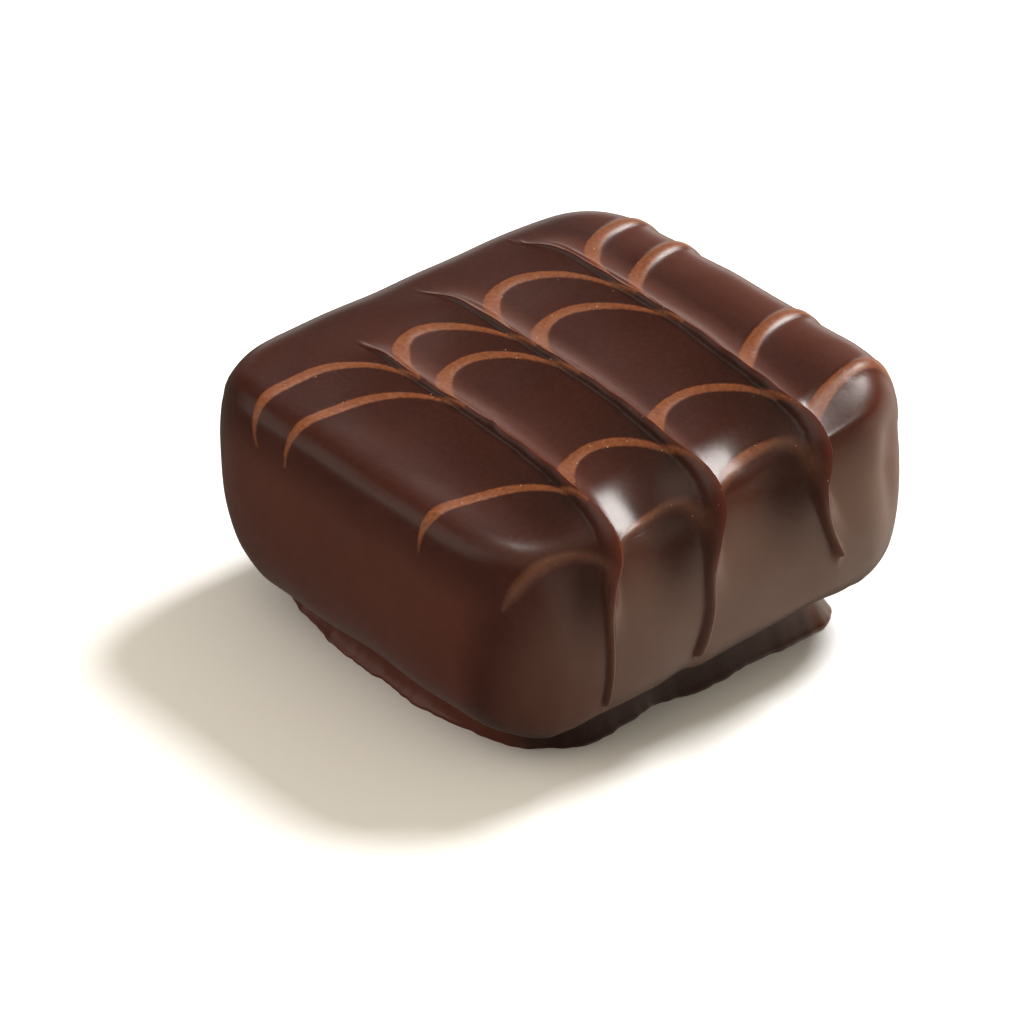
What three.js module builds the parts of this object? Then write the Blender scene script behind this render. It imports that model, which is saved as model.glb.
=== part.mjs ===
// A square enrobed chocolate bonbon, about 28 mm across and 14 mm high, as one closed solid.
//
// A comb drawn from the back to the front has raised three sharp ridges on the top, with hollow
// troughs between them. At the front edge each ridge swells into a nose, turns over the edge and
// runs down the front as a thin drip. Beside each nose the coat sinks, and the wall stands back.
// The body curves in under its waist to a lip, and stands on a recessed foot whose outline
// wanders, as set chocolate does where it met the tray.
//
// Frame: millimetres, +Z up, +X to the right along the front, +Y towards the back. The origin is
// the middle of the footprint, on the flat underside.
//
// The whole skin is one grid folded round the body: a square patch for the top, and rings of the
// same columns that go down the four walls to the foot. Relief is worked out on the unrolled
// skin, where the walls lie flat round the top, so a ridge runs on as its drip without a break.

import * as THREE from "three";

// ---- Body, in millimetres
const halfWidth = 13.94;
const halfDepth = 13.84;
const topHeight = 14.0;
const waistHeight = 8.9;
const lipHeight = 2.4;
const edgeRun = 3.0; // how far the walls stand outside the flat part of the top
const upperRoundness = 3.6; // superellipse power of the edge between top and wall
const lowerRoundness = 2.6; // the same for the edge between wall and lip
const topLeanX = 0.046; // the top rises a little to the right
const topLeanY = -0.006;
const cornerSharpness = { backRight: 12, backLeft: 11, frontLeft: 4.8, frontRight: 8.8 };

// ---- Ridges, troughs and drips, in millimetres along and across the unrolled skin
// A station is a distance forward of the middle of the top. The front edge begins at 11, the
// front wall is upright from about 15, and the lip is at 25.
const stations = [-11.5, -9, -4, 2, 7, 11, 13.6, 15, 17, 19.5, 22.5];
const ridges = [
  {
    start: -9.6,
    end: 22.8,
    across: [-6.2, -5.85, -6.05, -6.2, -6.65, -7.4, -7.75, -8.5, -8.9, -9.2, -9.8],
  },
  {
    start: -11.4,
    end: 22.6,
    across: [-0.9, 0.1, 0.15, 0, -0.5, -1.1, -1.4, -1.9, -2.05, -1.95, -2.4],
  },
  {
    start: -12.3,
    end: 19.6,
    across: [6.1, 7.1, 7.2, 6.95, 6.35, 5.8, 5.45, 4.95, 5.5, 6.5, 7],
  },
];
const ridgeRamp = 3.0; // a ridge reaches its height within this distance of its start
const dripTip = { length: 0.6, narrowing: 0.7 }; // a drip ends low, and narrower by this share
const flankHeights = [0.06, 0.2, 0.45, 0.62, 0.82, 0.9, 0.78, 0.54, 0.22, 0.05, 0];
const flankGain = 1.35;
const troughDepths = [0.06, 0.16, 0.36, 0.5, 0.64, 0.68, 0.6, 0.45, 0.25, 0.06, 0];
const troughFade = [-13.5, -9.0, 6.5, 11.5]; // across: where the troughs begin and end at each side
const crestHeights = [0.07, 0.13, 0.2, 0.25, 0.28, 0.36, 0.6, 0.6, 0.42, 0.36, 0.34];
const crestHalfWidths = [0.15, 0.18, 0.22, 0.25, 0.3, 0.42, 0.72, 0.54, 0.31, 0.25, 0.25];
const crestFullness = 0.55; // below 1 the crest's section is blunt, with steep sides
// From a crest to the bottom of the trough: a long slope on its left, a short one on its right.
const leftReaches = [4.4, 4.4, 4.4, 4.4, 4.4, 4.0, 3.4, 2.8, 3.4, 4, 4.4];
const rightReaches = [2.3, 2.3, 2.3, 2.3, 2.0, 1.7, 1.7, 1.8, 2.0, 2.3, 2.3];
// Right of each ridge the coat sinks towards the front edge: how far down, the stations between
// which it sinks, and the distances off the ridge between which this fades out.
const sags = [
  { depth: 1.1, begins: 8.2, full: 12.8, fades: 2.8, gone: 6.0 },
  { depth: 1.1, begins: 8.8, full: 13.2, fades: 2.8, gone: 6.4 },
  { depth: 0.9, begins: 9.2, full: 12.2, fades: 7.5, gone: 11.0 },
];
const sagStartsOffRidge = [0.1, 0.9];
// There the front wall stands back just under its edge: how far in, the stations it does so
// between, and the distances off each ridge.
const standBack = {
  depth: 0.7,
  comes: [10.9, 13.6],
  goes: [14.0, 19.0],
  startsOffRidge: [0.4, 1.5],
  fades: [[4.0, 6.0], [4.4, 6.6], [7.0, 10.0]],
};
const noseOverhang = 0.72; // how far the noses stand out of the front wall

// ---- Foot and lip
const neckRuns = [0, -0.55, -0.8, -0.65, -0.25, 0, -0.1]; // outward of the top's rim
const neckHeights = [lipHeight, lipHeight - 0.12, lipHeight - 0.7, 1.0, 0.4, 0.15, 0];
const footBegins = 0.15; // share of the way down the neck over which the wall's relief fades
const rollEnds = 0.2;
const spreadFrom = 0.25; // shares of the way down between which the foot spreads
const spreadTo = 0.9;
// The lip is thickest just above its edge.
const lipRoll = { out: 0.12, above: 0.25, halfHeight: 0.4 };
// By degrees round the body, from the middle of the back over the left side and the front.
const footTurns = [
  0, 28, 50, 60, 70, 90, 104, 115, 128, 138, 147,
  157, 168, 184, 203, 217, 232, 262, 300, 330, 360,
];
const footSpreads = [
  -0.1, 0, -0.3, 0.15, 0.55, 0.55, 0.6, 0.2, -0.14, -0.16, 0.2,
  -0.2, -0.56, -0.1, -0.42, -0.27, -0.1, 0.1, -0.1, 0, -0.1,
];
const lipTurns = [
  0, 62, 78, 97, 112, 122, 136, 141, 149, 160, 167,
  174, 190, 205, 213, 219, 225, 240, 275, 320, 360,
];
const lipRises = [
  -0.3, -0.4, -0.35, -0.2, -0.3, -0.4, -0.9, -0.5, 0.2, 0.4, 0.66,
  0.44, 0.75, 1.1, 1.05, 0.8, 0.5, 0.2, -0.1, -0.45, -0.3,
];
const neckTurns = [0, 58, 72, 125, 140, 215, 300, 360];
const neckShares = [0.9, 0.9, 0.35, 0.3, 0.8, 1.15, 1, 0.9]; // how deep the neck is cut

// ---- Fineness of the grid
const innerSteps = [0, 0.02, 0.042, 0.1, 0.2, 0.34, 0.5]; // from a ridge to mid lane
const outerSteps = [0, 0.02, 0.042, 0.1, 0.2, 0.34, 0.52, 0.7, 0.86, 1]; // from a ridge to the side
const topRows = 26;
const upperRows = 13;
const lowerRows = 6;
const footRows = 4;

const rimHalfWidth = halfWidth - edgeRun;
const rimHalfDepth = halfDepth - edgeRun;

// Rises smoothly from 0 at a to 1 at b.
function ease(t, a, b) {
  const w = Math.min(Math.max((t - a) / (b - a), 0), 1);
  return w * w * (3 - 2 * w);
}

// Rise of a table over its stretch's length at knot k, from the knots on either side of it.
function knotRise(k, length, places, values) {
  const before = Math.max(k - 1, 0);
  const after = Math.min(k + 1, places.length - 1);
  return (length * (values[after] - values[before])) / (places[after] - places[before]);
}

// Smooth curve through a table's knots: a cubic on each stretch, with the rises above.
function glide(t, places, values) {
  const last = places.length - 1;
  const at = Math.min(Math.max(t, places[0]), places[last]);
  let k = 0;
  while (k < last - 1 && at > places[k + 1]) {
    k += 1;
  }
  const length = places[k + 1] - places[k];
  const w = (at - places[k]) / length;
  const riseFrom = knotRise(k, length, places, values);
  const riseTo = knotRise(k + 1, length, places, values);
  const from = (1 + 2 * w) * (1 - w) ** 2 * values[k] + w * (1 - w) ** 2 * riseFrom;
  const to = w * w * (3 - 2 * w) * values[k + 1] - w * w * (1 - w) * riseTo;
  return from + to;
}

function sharpnessAt(p, q) {
  if (q > 0) {
    return p > 0 ? cornerSharpness.backRight : cornerSharpness.backLeft;
  }
  return p > 0 ? cornerSharpness.frontRight : cornerSharpness.frontLeft;
}

// Plan of the top for p and q from -1 to 1: a rectangle whose sides draw in as a power of the
// other coordinate, by the share that makes two sides meet in a smooth round corner.
function topPlan(p, q) {
  const n = sharpnessAt(p, q);
  const draw = 1 / (n + 3);
  return {
    x: rimHalfWidth * p * (1 - draw * Math.abs(q) ** n * p * p),
    y: rimHalfDepth * q * (1 - draw * Math.abs(p) ** n * q * q),
  };
}

// Outward direction in plan at the top's rim; along is the side's direction, counterclockwise.
function rimNormal(p, q, side) {
  const n = sharpnessAt(p, q);
  const draw = 1 / (n + 3);
  let alongX;
  let alongY;
  if (side === "front" || side === "back") {
    const sign = side === "front" ? 1 : -1;
    alongX = sign * rimHalfWidth * (1 - 3 * draw * p * p);
    alongY = -sign * rimHalfDepth * q * draw * n * Math.abs(p) ** (n - 1) * Math.sign(p);
  } else {
    const sign = side === "right" ? 1 : -1;
    alongX = -sign * rimHalfWidth * p * draw * n * Math.abs(q) ** (n - 1) * Math.sign(q);
    alongY = sign * rimHalfDepth * (1 - 3 * draw * q * q);
  }
  const length = Math.hypot(alongX, alongY);
  return { x: alongY / length, y: -alongX / length };
}

// The wall's section from the top's rim down to the floor. run is outward of the rim, down is
// the length along the section, out and up are its normal, and foot goes from 0 at the lip to 1.
function wallSection() {
  const section = [];
  for (let i = 0; i <= upperRows; i += 1) {
    const turn = (i / upperRows) * Math.PI / 2;
    const run = edgeRun * Math.sin(turn) ** (2 / upperRoundness);
    const share = Math.max(Math.cos(turn), 0) ** (2 / upperRoundness);
    section.push({ run, height: waistHeight + (topHeight - waistHeight) * share, foot: 0 });
  }
  for (let i = 1; i <= lowerRows; i += 1) {
    const turn = (i / lowerRows) * Math.PI / 2;
    const run = edgeRun * Math.max(Math.cos(turn), 0) ** (2 / lowerRoundness);
    const share = Math.sin(turn) ** (2 / lowerRoundness);
    section.push({ run, height: waistHeight - (waistHeight - lipHeight) * share, foot: 0 });
  }
  const neckPlaces = neckRuns.map((_, i) => i / (neckRuns.length - 1));
  for (let i = 1; i <= footRows; i += 1) {
    const foot = i / footRows;
    const run = glide(foot, neckPlaces, neckRuns);
    section.push({ run, height: glide(foot, neckPlaces, neckHeights), foot });
  }
  let down = 0;
  section.forEach((point, i) => {
    const before = section[Math.max(i - 1, 0)];
    const after = section[Math.min(i + 1, section.length - 1)];
    const length = Math.hypot(after.run - before.run, after.height - before.height);
    point.out = i === 0 ? 0 : (before.height - after.height) / length;
    point.up = i === 0 ? 1 : (after.run - before.run) / length;
    down += Math.hypot(point.run - before.run, point.height - before.height);
    point.down = down;
  });
  return section;
}

// From 1 on a ridge's crest down to 0 at the reach of its flank, as the square of nearness.
function flankShare(offset, forward) {
  const reach = glide(forward, stations, offset < 0 ? leftReaches : rightReaches);
  return Math.max(1 - Math.abs(offset) / reach, 0) ** 2;
}

// How far the coat sinks straight down beside each nose, where it ran off over the front edge.
function sagAt(across, along) {
  const forward = -along;
  const depths = ridges.map((ridge, k) => {
    const sag = sags[k];
    const offset = across - glide(forward, stations, ridge.across);
    const beside = ease(offset, ...sagStartsOffRidge) * (1 - ease(offset, sag.fades, sag.gone));
    return sag.depth * beside * ease(forward, sag.begins, sag.full);
  });
  return Math.max(...depths);
}

// How far the front wall stands back from its plain place between the noses.
function standBackAt(across, along) {
  const forward = -along;
  const shares = ridges.map((ridge, k) => {
    const offset = across - glide(forward, stations, ridge.across);
    return ease(offset, ...standBack.startsOffRidge) * (1 - ease(offset, ...standBack.fades[k]));
  });
  const onFront = ease(forward, ...standBack.comes) * (1 - ease(forward, ...standBack.goes));
  return standBack.depth * Math.max(...shares) * onFront;
}

// Height of the skin above the plain body, at a place on the unrolled skin.
function relief(across, along) {
  const forward = -along;
  const flank = glide(forward, stations, flankHeights);
  const crest = glide(forward, stations, crestHeights);
  const fullHalf = glide(forward, stations, crestHalfWidths);
  let height = 0;
  for (const ridge of ridges) {
    const offset = across - glide(forward, stations, ridge.across);
    const begun = ease(forward, ridge.start, ridge.start + ridgeRamp);
    const ended = ease(forward, ridge.end - dripTip.length, ridge.end);
    const half = fullHalf * (1 - dripTip.narrowing * ended);
    const crestShare = Math.max(1 - (offset / half) ** 2, 0) ** crestFullness;
    height += flankGain * flank * begun * flankShare(offset, forward);
    height += crest * begun * (1 - ended) * crestShare;
  }
  const [leftOut, leftIn, rightIn, rightOut] = troughFade;
  const combed = ease(across, leftOut, leftIn) * (1 - ease(across, rightIn, rightOut));
  const begun = ease(forward, ridges[1].start, ridges[1].start + 2 * ridgeRamp);
  return height - glide(forward, stations, troughDepths) * combed * begun;
}

// Lane places from 0 at the left side to 4 at the right: 1, 2 and 3 are the ridges.
function laneColumns() {
  const inner = [...innerSteps, ...innerSteps.slice(0, -1).reverse().map((step) => 1 - step)];
  const columns = [...outerSteps].reverse().map((step) => 1 - step);
  for (let lane = 1; lane < ridges.length; lane += 1) {
    columns.push(...inner.slice(1).map((step) => lane + step));
  }
  columns.push(...outerSteps.slice(1).map((step) => ridges.length + step));
  return columns;
}

// The p of each lane column in a row, so that columns follow the ridges. down is 0 on the top.
function columnPlaces(columns, q, down) {
  const forward = -rimHalfDepth * q + down;
  const edges = [-1];
  for (const ridge of ridges) {
    const target = glide(forward, stations, ridge.across);
    let p = target / rimHalfWidth;
    for (let pass = 0; pass < 8; pass += 1) {
      const reached = topPlan(p, q).x + (down > 0 ? rimNormal(p, q, "front").x * down : 0);
      p += (target - reached) / (rimHalfWidth + down);
    }
    edges.push(p);
  }
  edges.push(1);
  return columns.map((column) => {
    const lane = Math.min(Math.floor(column), edges.length - 2);
    return edges[lane] + (column - lane) * (edges[lane + 1] - edges[lane]);
  });
}

function topPoint(p, q) {
  const { x, y } = topPlan(p, q);
  return [x, y, topHeight + topLeanX * x + topLeanY * y + relief(x, y) - sagAt(x, y)];
}

function wallPoint(p, q, side, level) {
  const rim = topPlan(p, q);
  const normal = rimNormal(p, q, side);
  const turn = (THREE.MathUtils.radToDeg(Math.atan2(rim.y, rim.x)) + 270) % 360;
  const unrolledX = rim.x + normal.x * level.down;
  const unrolledY = rim.y + normal.y * level.down;
  const aboveRoll = level.height - lipHeight - lipRoll.above;
  const roll = lipRoll.out * Math.exp(-((aboveRoll / lipRoll.halfHeight) ** 2));
  const height = relief(unrolledX, unrolledY) * (1 - ease(level.foot, 0, footBegins))
    + roll * (1 - ease(level.foot, 0, rollEnds));
  const tucked = level.foot > 0 ? level.run * glide(turn, neckTurns, neckShares) : level.run;
  const spread = glide(turn, footTurns, footSpreads) * ease(level.foot, spreadFrom, spreadTo);
  const run = tucked + level.out * height + spread - standBackAt(unrolledX, unrolledY);
  const plainX = rim.x + normal.x * level.run;
  const plainY = rim.y + normal.y * level.run;
  const upperShare = Math.max((level.height - waistHeight) / (topHeight - waistHeight), 0);
  const lean = upperShare * (topLeanX * plainX + topLeanY * plainY - sagAt(unrolledX, unrolledY));
  const lift = glide(turn, lipTurns, lipRises);
  const belowWaist = 1 - ease(level.height, lipHeight, waistHeight - edgeRun);
  const liftShare = belowWaist * Math.min(level.height / lipHeight, 1);
  return [
    rim.x + normal.x * run,
    rim.y + normal.y * run,
    level.height + lean + level.up * height + lift * liftShare,
  ];
}

function bonbonGeometry() {
  const columns = laneColumns();
  const section = wallSection();
  const lastColumn = columns.length - 1;
  const rowPlaces = Array.from({ length: topRows + 1 }, (_, j) => -1 + (2 * j) / topRows);
  const positions = [];
  const triangles = [];

  const top = rowPlaces.map((q) => columnPlaces(columns, q, 0).map((p) => {
    positions.push(...topPoint(p, q));
    return positions.length / 3 - 1;
  }));
  for (let j = 0; j < topRows; j += 1) {
    for (let i = 0; i < lastColumn; i += 1) {
      triangles.push(top[j][i], top[j][i + 1], top[j + 1][i + 1]);
      triangles.push(top[j][i], top[j + 1][i + 1], top[j + 1][i]);
    }
  }

  // The first ring is the top's own rim, counterclockwise from the front left corner.
  let ringAbove = [
    ...top[0].slice(0, -1),
    ...top.slice(0, -1).map((row) => row[lastColumn]),
    ...top[topRows].slice(1).reverse(),
    ...top.slice(1).reverse().map((row) => row[0]),
  ];
  const backPlaces = columnPlaces(columns, 1, 0);
  for (const level of section.slice(1)) {
    const frontPlaces = columnPlaces(columns, -1, level.down);
    const points = [
      ...frontPlaces.slice(0, -1).map((p) => wallPoint(p, -1, "front", level)),
      ...rowPlaces.slice(0, -1).map((q) => wallPoint(1, q, "right", level)),
      ...backPlaces.slice(1).reverse().map((p) => wallPoint(p, 1, "back", level)),
      ...rowPlaces.slice(1).reverse().map((q) => wallPoint(-1, q, "left", level)),
    ];
    const first = positions.length / 3;
    points.forEach((point) => positions.push(...point));
    const ring = points.map((_, i) => first + i);
    ring.forEach((here, i) => {
      const next = (i + 1) % ring.length;
      triangles.push(here, ring[next], ringAbove[next]);
      triangles.push(here, ringAbove[next], ringAbove[i]);
    });
    ringAbove = ring;
  }

  // The flat underside, as a fan about its middle.
  const middle = positions.length / 3;
  positions.push(0, 0, 0);
  ringAbove.forEach((here, i) => {
    triangles.push(middle, ringAbove[(i + 1) % ringAbove.length], here);
  });

  const geometry = new THREE.BufferGeometry();
  geometry.setAttribute("position", new THREE.Float32BufferAttribute(positions, 3));
  geometry.setIndex(triangles);
  geometry.translate(0, noseOverhang / 2, 0);
  geometry.computeVertexNormals();
  return geometry;
}

const darkChocolate = new THREE.MeshStandardMaterial({ color: 0x47251c, roughness: 0.35, metalness: 0 });

const bonbon = new THREE.Mesh(bonbonGeometry(), darkChocolate);
bonbon.name = "bonbon";

const sweet = new THREE.Group();
sweet.add(bonbon);

export default sweet;
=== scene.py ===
"""A square chocolate bonbon, 28 mm across: dark coat, combed ridges with drips, and milk chocolate lines.

The coat is one skin, worked out on the same plan as the solid: a square patch for the top, and rings
that go down the four walls to the foot. Its relief is a function of two lengths on the unrolled skin,
across to the right and along to the back, in millimetres, with the walls laid flat round the top.
"""

import math

import bpy
import numpy as np
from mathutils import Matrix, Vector


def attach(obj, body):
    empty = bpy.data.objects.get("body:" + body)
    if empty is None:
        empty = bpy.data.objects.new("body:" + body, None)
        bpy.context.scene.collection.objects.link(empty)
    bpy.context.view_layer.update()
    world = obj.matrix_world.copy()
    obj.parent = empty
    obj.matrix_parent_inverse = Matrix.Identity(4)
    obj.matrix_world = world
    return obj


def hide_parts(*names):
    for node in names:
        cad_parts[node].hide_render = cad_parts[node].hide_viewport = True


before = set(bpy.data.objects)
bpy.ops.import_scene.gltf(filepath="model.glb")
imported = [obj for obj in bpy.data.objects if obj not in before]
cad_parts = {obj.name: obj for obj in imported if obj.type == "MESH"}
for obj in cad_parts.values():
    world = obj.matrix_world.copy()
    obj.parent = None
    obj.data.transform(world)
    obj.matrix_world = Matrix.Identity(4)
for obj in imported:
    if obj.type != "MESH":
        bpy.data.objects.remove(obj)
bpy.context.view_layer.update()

MM = 0.001

# ---- Body, in millimetres
HALF_WIDTH = 13.94
HALF_DEPTH = 13.84
TOP_HEIGHT = 14.0
WAIST_HEIGHT = 8.9
LIP_HEIGHT = 2.4
EDGE_RUN = 3.0  # how far the walls stand outside the flat part of the top
UPPER_ROUNDNESS = 3.6
LOWER_ROUNDNESS = 2.6
TOP_LEAN_X = 0.046
TOP_LEAN_Y = -0.006
CORNER_SHARPNESS = {"back_right": 12, "back_left": 11, "front_left": 4.8, "front_right": 8.8}
NOSE_OVERHANG = 0.72
RIM_HALF_WIDTH = HALF_WIDTH - EDGE_RUN
RIM_HALF_DEPTH = HALF_DEPTH - EDGE_RUN

# ---- Ridges, troughs and drips. A station is a length forward of the middle of the top: the front edge
# begins at 11, the front wall is upright from about 16, and the lip is at about 26.
STATIONS = (-11.5, -9, -4, 2, 7, 11, 13.6, 15, 17, 19.5, 22.5)
RIDGE_STARTS = (-9.6, -11.4, -12.3)
DRIP_ENDS = (22.8, 22.6, 19.6)
RIDGES_ACROSS = (
    (-6.2, -5.85, -6.05, -6.2, -6.65, -7.4, -7.75, -8.5, -8.9, -9.2, -9.8),
    (-0.9, 0.1, 0.15, 0, -0.5, -1.1, -1.4, -1.9, -2.05, -1.95, -2.4),
    (6.1, 7.1, 7.2, 6.95, 6.35, 5.8, 5.45, 4.95, 5.5, 6.5, 7),
)
RIDGE_RAMP = 3.0
DRIP_TIP = 0.6
DRIP_NARROWING = 0.7
FLANK_HEIGHTS = (0.06, 0.2, 0.45, 0.62, 0.82, 0.9, 0.78, 0.54, 0.22, 0.05, 0)
FLANK_GAIN = 1.35
TROUGH_DEPTHS = (0.06, 0.16, 0.36, 0.5, 0.64, 0.68, 0.6, 0.45, 0.25, 0.06, 0)
TROUGHS_COME = (-13.5, -9.0)
TROUGHS_GO = (6.5, 11.5)
CREST_HEIGHTS = (0.07, 0.13, 0.2, 0.25, 0.28, 0.36, 0.6, 0.6, 0.42, 0.36, 0.34)
CREST_HALF_WIDTHS = (0.15, 0.18, 0.22, 0.25, 0.3, 0.42, 0.72, 0.54, 0.31, 0.25, 0.25)
CREST_FULLNESS = 0.55  # below 1 the crest's section is blunt, with steep sides
# from a crest to the bottom of the trough: a long slope on its left, a short one on its right
LEFT_REACHES = (4.4, 4.4, 4.4, 4.4, 4.4, 4.0, 3.4, 2.8, 3.4, 4, 4.4)
RIGHT_REACHES = (2.3, 2.3, 2.3, 2.3, 2.0, 1.7, 1.7, 1.8, 2.0, 2.3, 2.3)

# Right of each ridge the coat sinks towards the front edge. For each ridge: how far down, the two stations
# between which it sinks, and the two distances off the ridge between which that fades out.
SAGS = ((1.1, 8.2, 12.8, 2.8, 6.0), (1.1, 8.8, 13.2, 2.8, 6.4), (0.9, 9.2, 12.2, 7.5, 11.0))
SAG_STARTS_OFF_RIDGE = (0.1, 0.9)
# There the front wall stands back just under its edge: how far, over which stations that comes and goes,
# and over which distances right of each ridge.
STAND_BACK = 0.7
STAND_BACK_COMES = (10.9, 13.6)
STAND_BACK_GOES = (14.0, 19.0)
STAND_BACK_STARTS = (0.4, 1.5)
STAND_BACK_FADES = ((4.0, 6.0), (4.4, 6.6), (7.0, 10.0))

# ---- Foot and lip. Turns are degrees round the body, from the middle of the back over the left side.
NECK_RUNS = (0, -0.55, -0.8, -0.65, -0.25, 0, -0.1)
NECK_HEIGHTS = (LIP_HEIGHT, LIP_HEIGHT - 0.12, LIP_HEIGHT - 0.7, 1.0, 0.4, 0.15, 0)
NECK_TURNS = (0, 58, 72, 125, 140, 215, 300, 360)
NECK_SHARES = (0.9, 0.9, 0.35, 0.3, 0.8, 1.15, 1, 0.9)
FOOT_TURNS = (
    (0, 28, 50, 60, 70, 90, 104, 115, 128, 138, 147)
    + (157, 168, 184, 203, 217, 232, 262, 300, 330, 360)
)
FOOT_SPREADS = (
    (-0.1, 0, -0.3, 0.15, 0.55, 0.55, 0.6, 0.2, -0.14, -0.16, 0.2)
    + (-0.2, -0.56, -0.1, -0.42, -0.27, -0.1, 0.1, -0.1, 0, -0.1)
)
LIP_TURNS = (
    (0, 62, 78, 97, 112, 122, 136, 141, 149, 160, 167)
    + (174, 190, 205, 213, 219, 225, 240, 275, 320, 360)
)
LIP_RISES = (
    (-0.3, -0.4, -0.35, -0.2, -0.3, -0.4, -0.9, -0.5, 0.2, 0.4, 0.66)
    + (0.44, 0.75, 1.1, 1.05, 0.8, 0.5, 0.2, -0.1, -0.45, -0.3)
)
# the foot's ragged rim: waves in a turn, size and phase of each
FOOT_RAGS = ((14, 0.03, 4.0), (23, 0.03, 1.0), (37, 0.025, 2.2), (58, 0.02, 0.4), (91, 0.015, 5.0))
LIP_ROLL = 0.12  # the lip is thickest just above its edge
LIP_ROLL_ABOVE = 0.25
LIP_ROLL_HALF_HEIGHT = 0.4
RELIEF_ENDS = 0.15  # shares of the way down the neck: where the wall's relief has gone
ROLL_ENDS = 0.2
FOOT_SPREADS_OVER = (0.25, 0.9)

# ---- Milk chocolate lines, four of them, each bent into an arch in every lane between the ridges.
# For each arch: how far back its top is, the share of the lane left of it, and the drop on each side.
ARCHES = (
    ((8.75, 0.66, 3.6, 4.8), (8.2, 0.42, 3.4, 5.8), (8.7, 0.45, 3.4, 5.8), (9.3, 0.44, 3.4, 4.0)),
    ((5.3, 0.62, 0.8, 5.0), (4.6, 0.45, 3.4, 5.8), (4.85, 0.46, 3.6, 5.8), (5.8, 0.48, 3.2, 3.0)),
    ((-5.35, 0.60, 0.9, 5.4), (-5.65, 0.46, 3.6, 6.2), (-4.95, 0.47, 3.6, 6.4), (-3.35, 0.48, 3.6, 4.4)),
    ((-11.85, 0.47, 0.8, 3.2), (-11.35, 0.43, 7.0, 6.5), (-10.8, 0.49, 5.0, 6.5), (-9.4, 0.46, 2.6, 4.4)),
)
LAST_LINE = len(ARCHES) - 1
LAST_LANE = len(RIDGES_ACROSS)
LINE_POINTS = 60
LEFT_WALL_STARTS = (-0.95, -0.95, -0.86, -0.62)  # the angle of each arch where it ends on the left wall
RIGHT_WALL_END = 0.85
LINE_DROP = 0.24
LEG_STARTS_RIGHT = 0.42
LEG_STOPS_LEFT = 0.1
SIDE_REACH = 16.3
LINE_HALF_WIDTH = 0.34
# how much thinner or wider a line is, and the angles of its arch over which that comes
LEFT_WALL_THINNING = 0.28
LEFT_WALL_THINS_FROM = 0.35  # share of the way to the line's left end
LEFT_LEG_THINNING = 0.3
LEFT_LEG_ANGLES = (0.85, 1.5)
RIGHT_LEG_THINNING = 0.27
RIGHT_LEG_ANGLES = (0.1, 1.5)
BEND_WIDENING = 0.09
BEND_ANGLES = (0, 0.8)
RIGHT_EDGE_WIDENING = 0.1
RIGHT_EDGE_ANGLES = (0, 0.7)
NEAR_LINE = 1.0  # a line is looked for within this distance of its own bounds
FAR_FROM_LINES = 3.0
OFF_THE_SKIN = 40  # a skin place, across and along, that no relief reaches: that of the underside
BEAD_HEIGHT = 0.035
SIDE_BEAD_HEIGHT = 0.11  # right of the last ridge the lines stand higher and wider
SIDE_BEAD_WIDENING = 0.6
SIDE_LANE = (8.0, 11.5)
SIDE_LANE_ENDS = (14.5, 17)
# how deep the coat steps down or is hollowed, and the distances below an arch where that comes and goes
STEP_DOWN = 0.08
STEP_COMES = (-0.2, 1.0)
STEP_GOES = (1.2, 4.0)
LEFT_HOLLOW = 0.1
HOLLOW_COMES = (-0.4, 1.4)
HOLLOW_GOES = (1.8, 5.5)
HOLLOW_ENDS = 1.2  # how near the ends of its arch the hollow fades

# ---- What the maker's hand leaves
ROLLED_EDGE = 0.04
ROLLED_EDGE_COMES = (-13.1, -13.7)
ROLLED_EDGE_GOES = (-14.2, -17.5)
ROLLED_EDGE_STOPS = (6, 11)
BACK_SWELL = 0.08
BACK_SWELL_ACROSS = -12.4
BACK_SWELL_HALF = 0.9
BACK_SWELL_COMES = (5, 10)
# streaks beside each crest: height, distance right of the crest, and half width
STREAKS = ((0.035, 0.62, 0.11), (-0.025, 0.42, 0.09))
STREAKS_BEGIN = (1.5, 5)  # lengths in front of the ridge's start
STREAKS_STOP = (9, 11.5)
STREAK_WOBBLE = 0.08
STREAK_WOBBLE_RATE = 0.9
STREAK_PHASE = 2  # by this much each ridge's streaks are out of step with the last one's
CREST_WAVER = 0.03
CREST_WAVER_RATE = 2.3
CREST_WAVER_HALF = 0.3
# drops that set on a ridge: the ridge, station, distance right of it, height, and halves across and along
DROPS = ((0, 2.35, 0.12, 0.16, 0.22, 0.3), (2, 19.2, 0, 0.34, 0.32, 0.4))
# slow unevenness: height, rate and phase across, how much it meanders, rate and phase along
SWELLS = ((0.035, 0.55, 0, 1.3, 0.48, 0.6), (0.02, 1.15, 0.8, 0, 0.93, 1.9))
MEANDER_RATE = 0.31

# ---- Tones of the coat, most of them painted light and shade: the share of each, and where it comes and goes
# painted light: a lighter, redder coat on the left wall, the left foot, the right edge and the right flank
# of each ridge
LEFT_WALL_LIGHT = 0.42
LEFT_WALL = (-13.5, -17)
LEFT_WALL_STOPS = (9, 13)
LEFT_FOOT_LIGHT = 0.9
LEFT_FOOT = (-22, -25)
RIGHT_EDGE_LIGHT = 0.55
RIGHT_EDGE = (9, 12.5)
RIGHT_FLANK_LIGHT = 0.55
COMBED_COMES = (0, 0.3)
COMBED_GOES = (0.6, 2.6)
TONES_RAMP = 4
TONES_STOP = (10, 13)
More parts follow.
